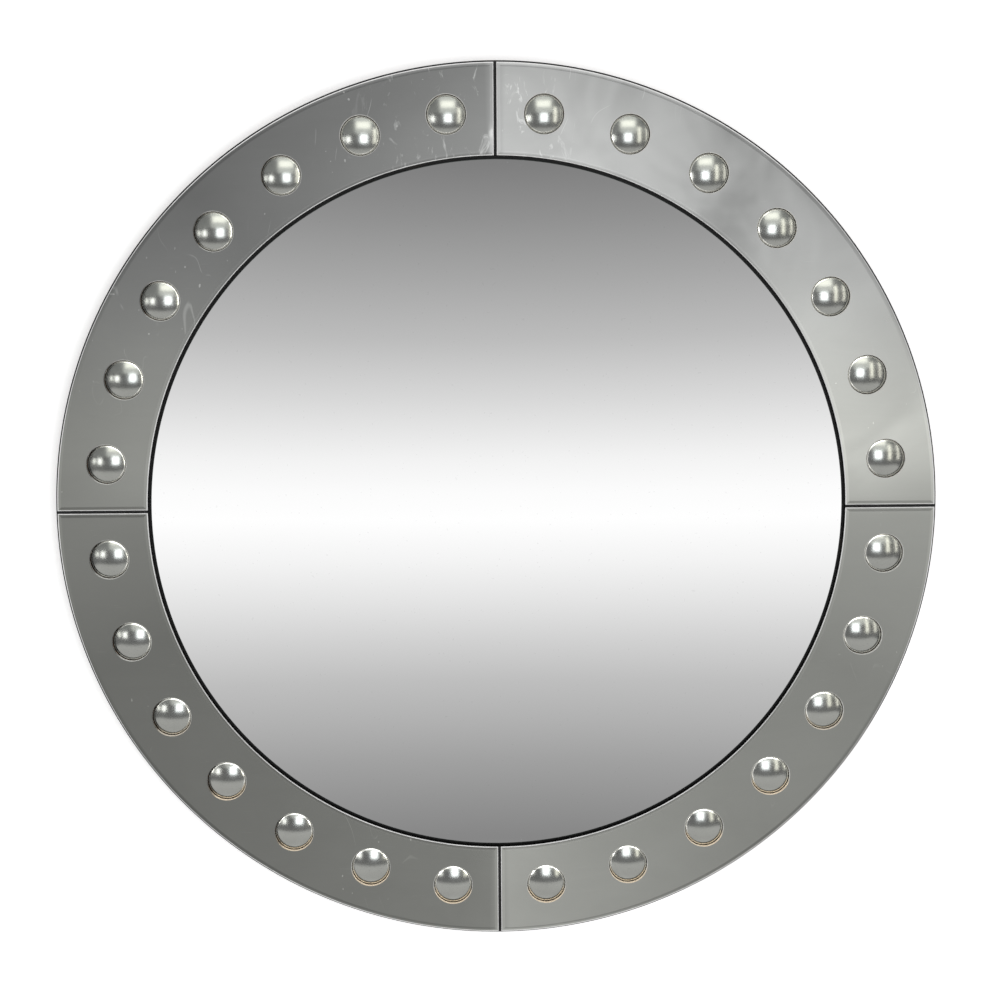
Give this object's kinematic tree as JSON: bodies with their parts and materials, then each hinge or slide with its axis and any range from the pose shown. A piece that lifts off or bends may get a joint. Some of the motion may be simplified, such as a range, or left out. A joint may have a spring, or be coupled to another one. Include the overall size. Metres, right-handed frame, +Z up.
{
  "type": "convex butlers mirror",
  "caption": "Large round wall mirror: a convex centre glass in a border of polished steel plates with small convex mirrors set in round wells.",
  "frame": {"origin": "on the mirror's axis, in the plane of the wall that its rubber feet rest on", "axes": "+Z up as hung, +Y into the wall, so the mirror faces -Y, and +X to the right as the viewer sees it"},
  "size_m": [0.8999, 0.0713, 0.9],
  "materials": {
    "polished_steel": "polished by hand, hazy, fine scratches",
    "mirror_glass": "silvered convex glass",
    "painted_wood": "painted black outside, bare tan wood in the wells",
    "hardboard": "plain hardboard",
    "foam_tape": "black foam tape",
    "black_rubber": "matt",
    "zinc_plated_steel": "bright zinc"
  },
  "bodies": {
    "mirror": {"ring_board": "painted_wood", "back_panel": "hardboard", "centre_glass": "mirror_glass", "glass_pads": "foam_tape", "steel_plate_upper_right": "polished_steel", "tape_upper_right": "foam_tape", "steel_plate_upper_left": "polished_steel", "tape_upper_left": "foam_tape", "steel_plate_lower_left": "polished_steel", "tape_lower_left": "foam_tape", "steel_plate_lower_right": "polished_steel", "tape_lower_right": "foam_tape", "small_mirrors": "mirror_glass", "mirror_pads": "foam_tape", "rubber_feet": "black_rubber", "hanger_screws": "zinc_plated_steel", "hanger_strap_left": "zinc_plated_steel", "hanger_strap_right": "zinc_plated_steel"},
    "left_ring": {"hanger_ring_left": "zinc_plated_steel"},
    "right_ring": {"hanger_ring_right": "zinc_plated_steel"}
  },
  "joints": [
    {"name": "left_ring_hinge", "type": "hinge", "parent": "mirror", "child": "left_ring", "pos_m": [-0.3123, -0.00538, 0.24993], "axis": [1, 0, 0], "range_deg": [0, 180]},
    {"name": "right_ring_hinge", "type": "hinge", "parent": "mirror", "child": "right_ring", "pos_m": [0.3123, -0.00538, 0.24993], "axis": [1, 0, 0], "range_deg": [0, 180]}
  ]
}
